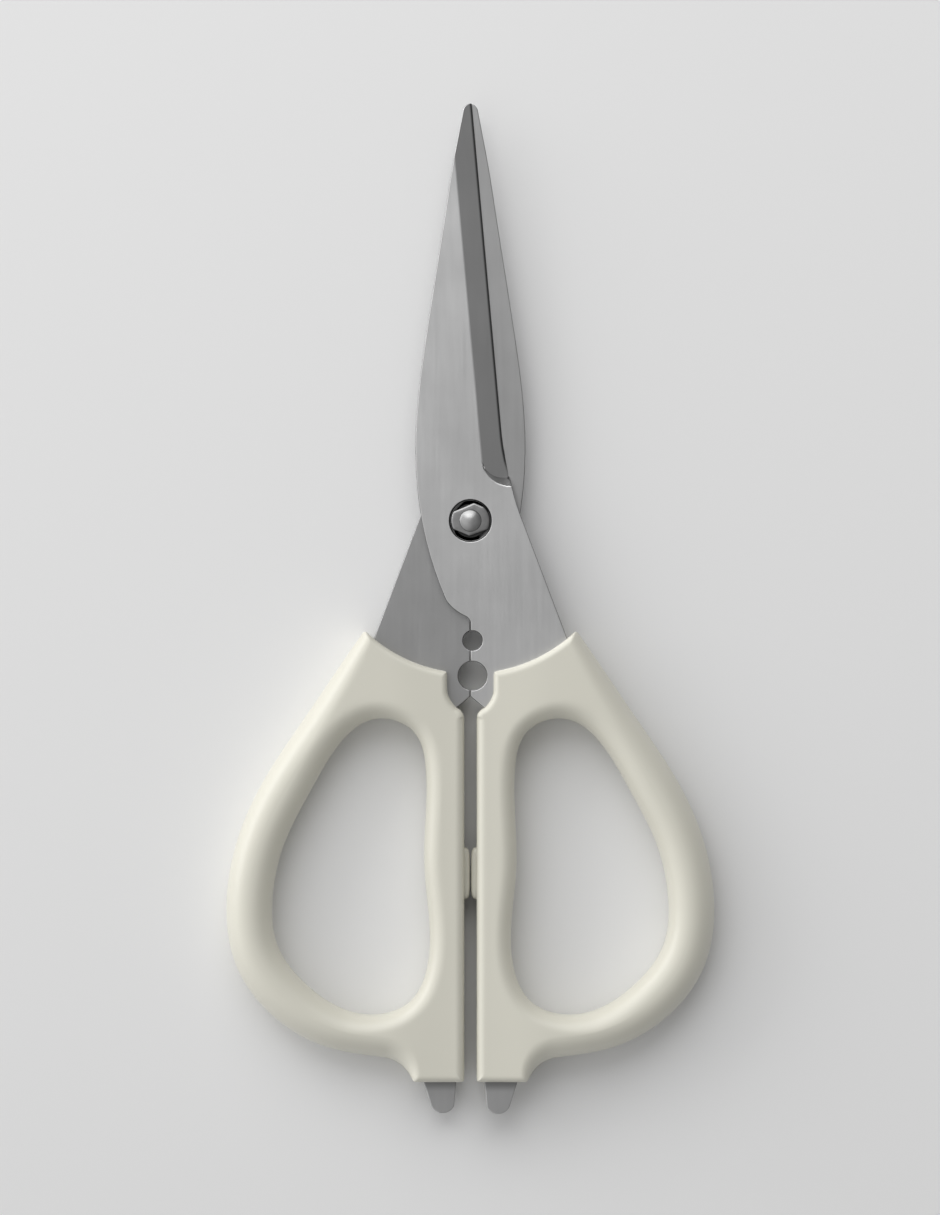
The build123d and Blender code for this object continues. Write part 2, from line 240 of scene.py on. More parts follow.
# curves of the notch under the shoulder: across and up from the gap's top, then in from the side
NOTCH_LOW = (0.5, 1.35)
NOTCH_MIDDLE = (1.7, 2.2)
NOTCH_HIGH = (0.75, 1.2)
NOTCH_SIDE = 0.8
# the opening: shares along the outer curve, then places across and down
LIMB_PLACES = (0.30, 0.42, 0.54, 0.66, 0.78)
OPENING_LOW = [(22.5, 0.0), (13.6, 3.1)]
OPENING_BAR = (-0.4, 11.0)
OPENING_SWELL = 0.25
OPENING_NECK = (-0.1, 12.0)
OPENING_HIGH = [(13.0, 2.9), (19.6, 0.0)]
# points along the curves
LIMB_COUNT, OPENING_COUNT = 900, 1500
FOOT_COUNT, GAP_COUNT = 90, 500
# the skin: places a ray crosses each edge, and where the rounding changes
OUTLINE_STEP, STATION_STEP, STATION_TURN = 0.1, 0.3, 2.2
CENTRE = (24.0, -82.0)
LARGEST_SHARE = 0.48
EDGE_POINTS, FLAT_POINTS = 13, 6
FOOT_RUN = 9.0
SEAM_WALL, THINNEST = 0.15, 0.12
THUMB_START, THUMB_RUN = 2.0, 16.0
CROWN_RUN = 17.0
STUB_HALF = (2.6, 5.95, 2.4)
STUB_POWER = 0.34


def limb_line():
    """Outer curve of the finger loop, from the top corner round to above the flat end."""
    corner = (SHOULDER * cos(CORNER_ANGLE), -SHOULDER * sin(CORNER_ANGLE))
    width = HALF_WIDTH - corner[0]
    length = LOOP_FOOT + corner[1]
    middle = [(corner[0] + share * width, corner[1] - drop * length) for share, drop in LIMB_SHAPE]
    last = (FOOT_WIDTH + FLARE_WIDTH, -LOOP_FOOT)
    return curve_through([corner] + middle + [last], LIMB_COUNT, CORNER_SLOPE, FOOT_SLOPE)


def handle_lines():
    """Outlines of the right handle: the loop's curve with its flare, the tight edges, and the opening."""
    limb = limb_line()
    turn = (FOOT_WIDTH + FLARE_TURN[0], -LOOP_FOOT - FLARE_TURN[1])
    flare = arc_through(limb[-1], turn, (FOOT_WIDTH, -FLAT_END), 60)
    outer = np.vstack([limb, flare[1:]])
    notch_top = (NOTCH_WIDTH, -(SHOULDER**2 - NOTCH_WIDTH**2) ** 0.5)
    first = np.arctan2(notch_top[1], notch_top[0])
    sweep = np.linspace(first, -CORNER_ANGLE, 220)
    shoulder = SHOULDER * np.stack([np.cos(sweep), np.sin(sweep)], 1)
    foot = (GAP, -NOTCH_FOOT)
    rise = (GAP + NOTCH_LOW[0], -NOTCH_FOOT + NOTCH_LOW[1])
    bend = (GAP + NOTCH_MIDDLE[0], -NOTCH_FOOT + NOTCH_MIDDLE[1])
    swing = (NOTCH_WIDTH - NOTCH_HIGH[0], -NOTCH_TURN - NOTCH_HIGH[1])
    wall = (NOTCH_WIDTH, -NOTCH_TURN + NOTCH_SIDE)
    tight = np.vstack([
        straight((FOOT_WIDTH, -FLAT_END), (GAP, -FLAT_END), FOOT_COUNT),
        straight((GAP, -FLAT_END), foot, GAP_COUNT)[1:],
        arc_through(foot, rise, bend, 30)[1:],
        arc_through(bend, swing, wall, 40)[1:],
        straight(wall, notch_top, 40)[1:],
        shoulder[1:],
    ])
    along = np.gradient(limb, axis=0)
    along /= np.linalg.norm(along, axis=1)[:, None]
    inside = limb + LIMB_WIDTH * np.stack([along[:, 1], -along[:, 0]], 1)
    picks = [int(share * len(limb)) for share in LIMB_PLACES]
    bar = GAP + BAR_WIDTH
    rest = [
        *[(across, -OPENING_FOOT + up) for across, up in OPENING_LOW],
        (bar + OPENING_BAR[0], -OPENING_FOOT + OPENING_BAR[1]),
        (bar + OPENING_SWELL, -(OPENING_TOP + OPENING_FOOT) / 2),
        (bar + OPENING_NECK[0], -OPENING_TOP - OPENING_NECK[1]),
        *[(across, -OPENING_TOP - down) for across, down in OPENING_HIGH],
    ]
    opening = curve_through([tuple(inside[k]) for k in picks] + rest, OPENING_COUNT, closed=True)[:-1]
    return outer, tight, opening


def fallen(distance, reach, fall):
    """How far a rounded edge has dropped: an ellipse's quarter, reach wide and fall deep."""
    share = np.clip(1 - distance / reach, 0, 1)
    return fall * (1 - np.sqrt(np.clip(1 - share**2, 0, 1)))


def handle_surface(sizes):
    """Half of a handle's skin as a ring of stations round the opening.

    Each station is a ray from the opening's edge to the outline. A point's height is the half
    thickness less the drop of every rounded edge near it, where each drop is a quarter ellipse
    of the distance to that edge, and less a low crown towards the gap between the handles.
    """
    outer, tight, opening = handle_lines()
    even = spaced(np.vstack([outer, tight[1:-1]]), OUTLINE_STEP)
    even = softened(even, sizes.corner_spread / MM, OUTLINE_STEP)
    stations = spaced(even, STATION_STEP, STATION_TURN)
    centre = np.array(CENTRE)
    ray = stations - centre
    hole = opening - centre
    hole_angle = np.unwrap(np.arctan2(hole[:, 1], hole[:, 0]))
    order = np.argsort(np.mod(hole_angle, 2 * pi))
    hole, angles = hole[order], np.mod(hole_angle, 2 * pi)[order]
    bearing = np.mod(np.arctan2(ray[:, 1], ray[:, 0]), 2 * pi)
    inner = centre + np.stack([np.interp(bearing, angles, hole[:, k], period=2 * pi) for k in (0, 1)], 1)
    width = np.linalg.norm(stations - inner, axis=1)

    # where the skin's points fall along a ray: close together over both rounded edges
    quarter = 1 - np.cos(np.linspace(0, pi / 2, EDGE_POINTS))
    inner_reach = np.minimum(sizes.opening_round / MM, LARGEST_SHARE * width)
    outer_reach = np.minimum(sizes.limb_round / MM, LARGEST_SHARE * width)
    near = inner_reach[:, None] / width[:, None] * quarter
    far = 1 - outer_reach[:, None] / width[:, None] * quarter[::-1]
    gap = np.linspace(0, 1, FLAT_POINTS + 2)[1:-1]
    middle = near[:, -1:] + (far[:, :1] - near[:, -1:]) * gap
    share = np.concatenate([near, middle, far], 1)[..., None]
    flat = (inner[:, None] * (1 - share) + stations[:, None] * share)
    rows, columns = flat.shape[:2]
    points = flat.reshape(-1, 2)

    # reach of the rounding along the outer curve: tight at the corner, full over the loop
    travelled = np.concatenate([[0], np.cumsum(np.linalg.norm(np.diff(outer, axis=0), axis=1))])
    full, small = sizes.limb_round / MM, sizes.edge_round / MM
    rise = np.clip(travelled / (sizes.corner_run / MM), 0, 1)
    fade = np.clip((travelled[-1] - travelled) / FOOT_RUN, 0, 1)
    first = sizes.corner_round / MM
    growing = first + (full - first) * rise * (2 - rise)
    outer_round = np.minimum(growing, small + (full - small) * fade * (2 - fade))
    tight_round = np.full(len(tight), small)
    tight_round[FOOT_COUNT:FOOT_COUNT + GAP_COUNT] = sizes.gap_round / MM

    half = (HANDLE_HIGH.z - HANDLE_LOW.z) / MM / 2
    tallest = half - SEAM_WALL
    drops = []
    for line, reach in ((outer, outer_round), (tight, tight_round)):
        distance, place = nearest(points, line)
        local = np.interp(place, np.arange(len(line)), reach)
        drops.append(fallen(distance, local, np.minimum(local * sizes.round_depth, tallest)))
    distance, _ = nearest(points, np.vstack([opening, opening[:1]]))
    thumb, bar = sizes.opening_round / MM, sizes.bar_round / MM
    past_bar = points[:, 0] - GAP - BAR_WIDTH - THUMB_START
    local = bar + (thumb - bar) * np.clip(past_bar / THUMB_RUN, 0, 1)
    drops.append(fallen(distance, local, np.minimum(local * sizes.round_depth, tallest)))
    drop = np.sqrt(sum(d**2 for d in drops))
    slope = np.clip(1 - (points[:, 0] - GAP) / CROWN_RUN, 0, 1)
    crown = sizes.crown / MM * slope**2 * (3 - 2 * slope)
    height = np.clip(half - drop - crown, THINNEST, None).reshape(rows, columns)
    return flat, height


def handle_mesh(flat, height, side):
    """Points and faces of a whole handle: the half skin, its mirror below, joined at both walls."""
    rows, columns = height.shape
    upper = np.concatenate([flat, (MIDDLE_HEIGHT + height)[..., None]], -1)
    lower = np.concatenate([flat, (MIDDLE_HEIGHT - height)[..., None]], -1)[:, ::-1]
    grid = np.concatenate([upper, lower], 1)
    faces = ring_faces(rows, 2 * columns)
    if side < 0:
        grid[..., 0] *= -1
        faces = flipped(faces)
    points = grid.reshape(-1, 3) * MM
    points[:, 1] += PIVOT.y
    return points, faces


def stub_mesh(sizes, side):
    """Stop stub as a superellipsoid: signed powers of the sines and cosines of two angles."""
    def power(value):
        """Signed power, which squares off a circle."""
        return np.sign(value) * np.abs(value) ** STUB_POWER

    around, up = 96, 49
    u = np.linspace(-pi, pi, around, endpoint=False)[None]
    v = np.linspace(-pi / 2, pi / 2, up)[1:-1, None]
    x = STUB_HALF[0] * power(np.cos(v)) * power(np.cos(u))
    y = STUB_HALF[1] * power(np.cos(v)) * power(np.sin(u))
    z = STUB_HALF[2] * power(np.sin(v)) * np.ones_like(u)
    grid = np.stack([x, y, z], -1).reshape(-1, 3)
    points = np.vstack([grid, [[0, 0, -STUB_HALF[2]], [0, 0, STUB_HALF[2]]]])
    rows = up - 2
    i, j = np.meshgrid(np.arange(rows - 1), np.arange(around), indexing="ij")
    nj = (j + 1) % around
    this, after_row = i * around, (i + 1) * around
    quads = np.stack([this + j, this + nj, after_row + nj, after_row + j], -1).reshape(-1, 4)
    ring = np.arange(around)
    after = (ring + 1) % around
    low, high = rows * around, rows * around + 1
    top = (rows - 1) * around
    caps = [[low, int(b), int(a)] for a, b in zip(ring, after)]
    caps += [[high, int(top + a), int(top + b)] for a, b in zip(ring, after)]
    faces = quads.tolist() + caps
    points[:, 0] = side * (points[:, 0] + STUB_HALF[0] + sizes.seam / MM)
    points[:, 1] -= sizes.stub_drop / MM
    if side < 0:
        faces = flipped(faces)
    points = points * MM
    points[:, 1] += PIVOT.y
    points[:, 2] += MIDDLE_HEIGHT * MM
    return points, faces


# ---------------------------------------------------------------- pivot shapes
HEAD_RADIUS, SHANK_RADIUS, DOME_RADIUS = 4.0, 1.9, 2.5
DOME_LAND = 0.06
HEAD_FLAT, HEAD_CROWN = 0.9, 0.22
# the head's rounded rim: where it starts, its corner and its end, in from the rim and up
HEAD_RIM = ((0.85, 0.24), (0.0, 0.35), (0.0, 0.8))
KEEPER_BORE, KEEPER_RADIUS = 1.92, 4.45
# each flat: the direction it faces in degrees, and its distance from the axis
KEEPER_FLATS = ((113, 3.5), (67, 4.15), (-113, 3.35), (-70, 3.25))
# the keeper's rounded rim: cut in from the outline, at each share of its height
KEEPER_RIM = ((0.0, 0.0), (0.0, 0.62), (0.04, 0.74), (0.14, 0.87), (0.32, 0.96), (0.6, 1.0))
KEEPER_LAND = 0.8
FLAT_REACH = 0.3
CORNER_SOFTNESS = radians(2.2)


def turned_mesh(profile, around=128):
    """Profile of radius and height carried round the pivot's axis; its two ends lie on the axis."""
    ring = profile[1:-1]
    u = np.linspace(0, 2 * pi, around, endpoint=False)
    x = np.cos(u)[:, None] * ring[:, 0]
    y = np.sin(u)[:, None] * ring[:, 0]
    z = np.ones_like(u)[:, None] * ring[:, 1]
    ends = [[0, 0, profile[0, 1]], [0, 0, profile[-1, 1]]]
    points = np.vstack([np.stack([x, y, z], -1).reshape(-1, 3), ends])
    columns = len(ring)
    i, j = np.meshgrid(np.arange(around), np.arange(columns - 1), indexing="ij")
    ni = (i + 1) % around
    quads = np.stack([i * columns + j, ni * columns + j, ni * columns + j + 1, i * columns + j + 1], -1)
    i = np.arange(around)
    ni = (i + 1) % around
    low, high = around * columns, around * columns + 1
    first = np.stack([np.full(around, low), ni * columns, i * columns], -1)
    last = np.stack([np.full(around, high), i * columns + columns - 1, ni * columns + columns - 1], -1)
    points = points * MM + np.array([PIVOT.x, PIVOT.y, 0])
    return points, quads.reshape(-1, 4).tolist() + first.tolist() + last.tolist()


def rounded_corner(start, corner, end, count=9):
    """Curve that leaves start towards a corner and arrives at end: a quadratic blend."""
    t = np.linspace(0, 1, count)[:, None]
    return np.array(start) * (1 - t) ** 2 + np.array(corner) * 2 * t * (1 - t) + np.array(end) * t**2


def stud_profile():
    """Half section of the stud: low domed head below, plain shank, low domed rivet on top."""
    low, high = (corner.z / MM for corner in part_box("pivot_stud"))
    seat, keeper_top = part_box("back_washer")[0].z / MM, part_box("keeper_wing")[1].z / MM
    t = np.linspace(0, 1, 12)
    bottom = np.stack([t * (HEAD_RADIUS - HEAD_FLAT), low + HEAD_CROWN * t**2], 1)
    fall = high - keeper_top - DOME_LAND
    top = np.stack([t[::-1] * DOME_RADIUS, high - fall * t[::-1] ** 2], 1)
    rim = rounded_corner(*[(HEAD_RADIUS - cut, low + up) for cut, up in HEAD_RIM])
    walls = [(HEAD_RADIUS, seat), (SHANK_RADIUS, seat), (SHANK_RADIUS, keeper_top), (DOME_RADIUS, keeper_top)]
    return np.vstack([bottom, rim, walls, top])


def keeper_mesh():
    """Keeper: rings of stations round the axis, each a half section from the bore to the rim.

    The rim's radius is the smallest of the full round and of each flat's distance divided by
    the cosine of the angle from its facing.
    """
    low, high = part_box("keeper_wing")
    low, high = low.z / MM, high.z / MM
    around = 540
    step = 2 * pi / around
    u = np.arange(around) * step
    rim = np.full(around, KEEPER_RADIUS)
    for facing, distance in KEEPER_FLATS:
        c = np.cos(u - radians(facing))
        rim = np.where(c > FLAT_REACH, np.minimum(rim, distance / np.maximum(c, FLAT_REACH)), rim)
    rim = softened(rim, CORNER_SOFTNESS, step)
    bore = np.full(around, KEEPER_BORE)
    section = [(rim - cut, low + share * (high - low)) for cut, share in KEEPER_RIM]
    section += [(rim - KEEPER_LAND * (rim - bore), high), (bore, high), (bore, low)]
    grid = np.stack([
        np.stack([radius * np.cos(u), radius * np.sin(u), np.full(around, height)], -1)
        for radius, height in section
    ], 1)
    points = grid.reshape(-1, 3) * MM + np.array([PIVOT.x, PIVOT.y, 0])
    return points, ring_faces(around, len(section))


# ---------------------------------------------------------------- node helpers
def tree_of(material):
    """The material's node tree, emptied, with a Principled shader joined to its output."""
    material.use_nodes = True
    nodes, links = material.node_tree.nodes, material.node_tree.links
    nodes.clear()
    output = nodes.new("ShaderNodeOutputMaterial")
    shader = nodes.new("ShaderNodeBsdfPrincipled")
    links.new(shader.outputs["BSDF"], output.inputs["Surface"])
    return nodes, links, shader


def node(tree, kind, settings=None, **inputs):
    """A node with its settings, and its inputs given as numbers, colours or other sockets."""
    made = tree.nodes.new(kind)
    for name, value in (settings or {}).items():
        setattr(made, name, value)
    for name, value in inputs.items():
        socket = made.inputs[int(name[1:])] if name[0] == "_" else made.inputs[name.replace("_", " ")]
        if isinstance(value, bpy.types.NodeSocket):
            tree.links.new(value, socket)
        else:
            socket.default_value = value
    return made


def maths(tree, operation, *values):
    """Result of a math node."""
    places = {f"_{k}": value for k, value in enumerate(values)}
    return node(tree, "ShaderNodeMath", {"operation": operation}, **places).outputs[0]


def vectors(tree, operation, vector, other):
    """Result of a vector math node with a constant: a number for a dot product, else a vector."""
    made = node(tree, "ShaderNodeVectorMath", {"operation": operation}, _0=vector)
    made.inputs[1].default_value = other
    return made.outputs["Value" if operation == "DOT_PRODUCT" else "Vector"]


def ranged(tree, value, span, to=(0.0, 1.0), smooth=False):
    """Value carried from one span to another and held at its ends."""
    settings = {"interpolation_type": "SMOOTHSTEP"} if smooth else None
    return node(
        tree, "ShaderNodeMapRange", settings, Value=value, _1=span[0], _2=span[1], _3=to[0], _4=to[1]
    ).outputs[0]


def noise(tree, place, scale, detail, roughness):
    """Noise texture's grey value."""
    return node(
        tree, "ShaderNodeTexNoise", Vector=place, Scale=scale, Detail=detail, Roughness=roughness
    ).outputs["Fac"]


def parts_of(tree, vector):
    """Outputs X, Y and Z of a vector."""
    return node(tree, "ShaderNodeSeparateXYZ", Vector=vector).outputs


def radius_of(tree, place):
    """Distance from the pivot's axis, for a place measured from the pivot."""
    level = vectors(tree, "MULTIPLY", place, (1.0, 1.0, 0.0))
    return node(tree, "ShaderNodeVectorMath", {"operation": "LENGTH"}, _0=level).outputs["Value"]


def group_node(tree, name, **inputs):
    """A shared group placed in a tree."""
    return node(tree, "ShaderNodeGroup", {"node_tree": bpy.data.node_groups[name]}, **inputs)


def shared_group(name, inputs, outputs):
    """New shader node group with its input sockets (name, kind, value) and its number outputs."""
    tree = bpy.data.node_groups.new(name, "ShaderNodeTree")
    for socket, kind, value in inputs:
        made = tree.interface.new_socket(socket, in_out="INPUT", socket_type=kind)
        if value is not None:
            made.default_value = value
    for socket in outputs:
        tree.interface.new_socket(socket, in_out="OUTPUT", socket_type="NodeSocketFloat")
    return tree, tree.nodes.new("NodeGroupInput"), tree.nodes.new("NodeGroupOutput")


def leave_by(tree, leave, **results):
    """Join the group's results to its outputs."""
    for name, result in results.items():
        tree.links.new(result, leave.inputs[name])


# ---------------------------------------------------------------- surface effects
CLOUD_SCALE, GRAIN_SCALE, RIPPLE_SCALE = 38.0, 2600.0, 180.0
GRAIN_SHARE = 0.35
SKIN_ROUGHNESS = (0.38, 0.46)
SKIN_DRIFT = 0.05
SCRATCH_SCALE, STREAK_SCALE = (9000.0, 260.0, 600.0), (1500.0, 60.0, 200.0)
STEEL_CLOUD_SCALE = 70.0
STREAK_SHARE, SCRATCH_SHARE = 0.6, 0.5
STEEL_SPAN = (0.5, 1.1)
STEEL_TONE = (0.975, 1.02)
STEEL_ROUGHNESS = (0.30, 0.38)
# the stop stubs' painted shade: a darker tone by distance from the centre plane, for the shade in the gap
# between the handles
STUB_SHADE_SPAN, STUB_SHADE_TONE = (0.00133, 0.00138), (0.84, 1.0)
COAT, COAT_ROUGHNESS = 0.35, 0.3

# blade zones, in metres from the pivot with the spine to the left
# the edge strip is painted shade along the cutting line
EDGE_ACROSS = (0.99595, 0.0899, 0.0)
EDGE_BEND_START, EDGE_BEND = 0.0195, -12.2
EDGE_STRIP, EDGE_FOOT = (0.00818, 0.00852), (0.0105, 0.0135)
# the recess zone is painted shade round the pivot
SINK_WALL, SINK_RIM, SINK_FLOOR = (0.0042, 0.0047), (0.00476, 0.00486), (0.00235, 0.0025)
SINK_WALL_SHARE = 0.75
TAB_TOP = (-0.127, -0.1255)
# painted shade: the blade's tone falls towards the handle, darker still beside the handle's mouth
FALL_SPAN, FALL_TONE = (-0.04, 0.05), (0.9, 1.0)
MOUTH_DROP, MOUTH_SPAN, MOUTH_TONE = 0.1272, (0.0004, 0.0026), (0.55, 1.0)

# how upright a face is where a zone of the blade's steel starts; the broken edges, and those that face
# downward, get painted shade
MEETING_DEPTH = (0.0001, 0.0002)
BEVEL_UPRIGHT, BROKEN_UPRIGHT, UNDER_FACING = (0.93, 0.97), (0.80, 0.88), (-0.25, 0.05)

# painted shade on the pivot's sloping faces
PIVOT_STEEP, PIVOT_STEEP_TONE = (0.55, 0.99), (0.45, 1.0)
PIVOT_CLOUD_SCALE = 900.0
PIVOT_TONE, PIVOT_ROUGHNESS = (0.86, 1.12), (0.27, 0.38)
# the pivot's tone is brighter in the middle and darker outward
CENTRE_FADE_SPAN, CENTRE_FADE_TONE = (0.0009, 0.0026), (1.0, 0.72)


def moulded_skin():
    """Group: slow colour drift, fine satin texture and roughness drift of moulded plastic."""
    tree, entry, leave = shared_group(
        "Moulded skin",
        [("Vector", "NodeSocketVector", None), ("Drift", "NodeSocketFloat", 0.02)],
        ("Tone", "Height", "Roughness"),
    )
    place = entry.outputs["Vector"]
    cloud = noise(tree, place, CLOUD_SCALE, 3.0, 0.5)
    grain = noise(tree, place, GRAIN_SCALE, 3.0, 0.6)
    ripple = noise(tree, place, RIPPLE_SCALE, 2.0, 0.45)
    centred = maths(tree, "SUBTRACT", cloud, 0.5)
    leave_by(
        tree, leave,
        Tone=maths(tree, "MULTIPLY_ADD", centred, entry.outputs["Drift"], 1.0),
        Height=maths(tree, "MULTIPLY_ADD", grain, GRAIN_SHARE, ripple),
        Roughness=ranged(tree, ripple, (0.0, 1.0), SKIN_ROUGHNESS),
    )


def ground_lines():
    """Group: streaks of ground steel, long one way and fine the other, and fingermark drift."""
    tree, entry, leave = shared_group(
        "Ground lines",
        [
            ("Vector", "NodeSocketVector", None),
            ("Low", "NodeSocketFloat", 0.3),
            ("High", "NodeSocketFloat", 0.42),
        ],
        ("Tone", "Height", "Roughness"),
    )
    place = entry.outputs["Vector"]
    fine = node(tree, "ShaderNodeMapping", Vector=place, Scale=SCRATCH_SCALE).outputs[0]
    broad = node(tree, "ShaderNodeMapping", Vector=place, Scale=STREAK_SCALE).outputs[0]
    scratch = noise(tree, fine, 1.0, 2.0, 0.6)
    streak = noise(tree, broad, 1.0, 2.0, 0.5)
    cloud = noise(tree, place, STEEL_CLOUD_SCALE, 3.0, 0.55)
    mixed = maths(tree, "MULTIPLY_ADD", streak, STREAK_SHARE, cloud)
    leave_by(
        tree, leave,
        Tone=ranged(tree, mixed, STEEL_SPAN, STEEL_TONE),
        Height=maths(tree, "MULTIPLY_ADD", streak, SCRATCH_SHARE, scratch),
        Roughness=ranged(tree, mixed, STEEL_SPAN, (entry.outputs["Low"], entry.outputs["High"])),
    )


def blade_zones():
    """Group: masks of a blade's zones, from places measured from the pivot, spine to the left.

    Edge is a strip of painted shade beside the cutting line; Sink is painted shade in the recess round
    the pivot; Tab is the tang below the handle; Low is painted shade, a tone that falls towards the handle
    and darkens further at its mouth.
    """
    tree, entry, leave = shared_group(
        "Blade zones", [("Vector", "NodeSocketVector", None)], ("Edge", "Sink", "Tab", "Low")
    )
    place = entry.outputs["Vector"]
    along, away = parts_of(tree, place)["Y"], parts_of(tree, place)["Z"]
    across = vectors(tree, "DOT_PRODUCT", place, EDGE_ACROSS)
    # painted shade: a strip beside the cutting line, above the edge's foot
    drop = maths(tree, "MAXIMUM", maths(tree, "SUBTRACT", EDGE_BEND_START, along), 0.0)
    bend = maths(tree, "MULTIPLY_ADD", maths(tree, "MULTIPLY", drop, drop), EDGE_BEND, across)
    strip = ranged(tree, bend, EDGE_STRIP)
    above = ranged(tree, along, EDGE_FOOT)
    radius = radius_of(tree, place)
    # painted shade in the recess round the pivot
    near = ranged(tree, radius, SINK_WALL, (1.0, SINK_WALL_SHARE))
    inside = ranged(tree, radius, SINK_RIM, (1.0, 0.0))
    under = ranged(tree, away, SINK_FLOOR, (1.0, 0.0))
    # painted shade falling towards the handle and at its mouth
    fall = ranged(tree, along, FALL_SPAN, FALL_TONE)
    beside = maths(tree, "ABSOLUTE", maths(tree, "ADD", along, MOUTH_DROP))
    shaded = ranged(tree, beside, MOUTH_SPAN, MOUTH_TONE, smooth=True)
    leave_by(
        tree, leave,
        Edge=maths(tree, "MULTIPLY", strip, above),
        Sink=maths(tree, "MULTIPLY", maths(tree, "MULTIPLY", near, inside), under),
        Tab=ranged(tree, along, TAB_TOP, (1.0, 0.0)),
        Low=maths(tree, "MULTIPLY", fall, shaded),
    )


def toned(tree, colour, tone):
    """Colour multiplied by a grey tone that varies over the surface."""
    scaled = node(tree, "ShaderNodeVectorMath", {"operation": "SCALE"}, Scale=tone)
    scaled.inputs[0].default_value = colour[:3]
    return scaled.outputs[0]


# ---------------------------------------------------------------- materials
def handle_plastic(colours):
    """Cream satin moulded plastic, with painted shade on the stop stubs."""
    material = bpy.data.materials.new("handle_plastic")
    nodes, links, shader = tree_of(material)
    tree = material.node_tree
    place = node(tree, "ShaderNodeTexCoord").outputs["Object"]
    skin = group_node(tree, "Moulded skin", Vector=place, Drift=SKIN_DRIFT)
    beside = maths(tree, "ABSOLUTE", parts_of(tree, place)["X"])
    # painted shade: the stubs by the centre plane are darkened, standing in for the shade of the narrow gap
    tone = maths(tree, "MULTIPLY", skin.outputs["Tone"], ranged(tree, beside, STUB_SHADE_SPAN, STUB_SHADE_TONE))
    links.new(toned(tree, colours.handle, tone), shader.inputs["Base Color"])
    links.new(skin.outputs["Roughness"], shader.inputs["Roughness"])
    shader.inputs["Coat Weight"].default_value = COAT
    shader.inputs["Coat Roughness"].default_value = COAT_ROUGHNESS
    bump = node(tree, "ShaderNodeBump", Strength=0.05, Distance=0.0002, Height=skin.outputs["Height"])
    links.new(bump.outputs[0], shader.inputs["Normal"])
    return material


def blade_steel(name, colours, side):
    """Ground stainless steel: pale outer flats, darker bevels, meeting faces and tab, with painted shade on
    the cutting-line strip, the recess, the broken and downward-facing edges and towards the handle.
    """
    material = bpy.data.materials.new(name)
    nodes, links, shader = tree_of(material)
    tree = material.node_tree
    coordinates = node(tree, "ShaderNodeTexCoord")
    place, facing = coordinates.outputs["Object"], coordinates.outputs["Normal"]
    low, high = STEEL_ROUGHNESS
    lines = group_node(tree, "Ground lines", Vector=place, Low=low, High=high)
    turned = vectors(tree, "MULTIPLY", vectors(tree, "SUBTRACT", place, PIVOT), (side, 1.0, side))
    zones = group_node(tree, "Blade zones", Vector=turned)
    meeting = ranged(tree, parts_of(tree, turned)["Z"], MEETING_DEPTH, (1.0, 0.0))
    level = maths(tree, "ABSOLUTE", parts_of(tree, facing)["Z"])
    bevel = ranged(tree, level, BEVEL_UPRIGHT, (1.0, 0.0))
    # painted shade: steep broken edges and cut walls get a darker steel
    broken = ranged(tree, level, BROKEN_UPRIGHT, (1.0, 0.0))
    # painted shade on edges that face downward, away from the light
    under = ranged(tree, parts_of(tree, facing)["Y"], UNDER_FACING, (1.0, 0.0))
    colour = None
    for mask, shade in (
        (meeting, colours.meeting),
        (bevel, colours.bevel),
        (broken, colours.rim),
        (maths(tree, "MULTIPLY", broken, under), colours.edge),
        (zones.outputs["Edge"], colours.edge),
        (zones.outputs["Tab"], colours.tab),
        (zones.outputs["Sink"], colours.recess_shade),
    ):
        mixed = node(tree, "ShaderNodeMix", {"data_type": "RGBA"}, Factor=mask)
        if colour is None:
            mixed.inputs[6].default_value = colours.flat
        else:
            links.new(colour, mixed.inputs[6])
        mixed.inputs[7].default_value = shade
        colour = mixed.outputs[2]
    # painted shade: the streak tone times the fall towards the handle and its mouth
    faded = maths(tree, "MULTIPLY", lines.outputs["Tone"], zones.outputs["Low"])
    shade = node(tree, "ShaderNodeVectorMath", {"operation": "SCALE"}, _0=colour, Scale=faded)
    links.new(shade.outputs[0], shader.inputs["Base Color"])
    links.new(lines.outputs["Roughness"], shader.inputs["Roughness"])
    shader.inputs["Metallic"].default_value = 1.0
    bump = node(tree, "ShaderNodeBump", Strength=0.08, Distance=0.00005, Height=lines.outputs["Height"])
    links.new(bump.outputs[0], shader.inputs["Normal"])
    return material


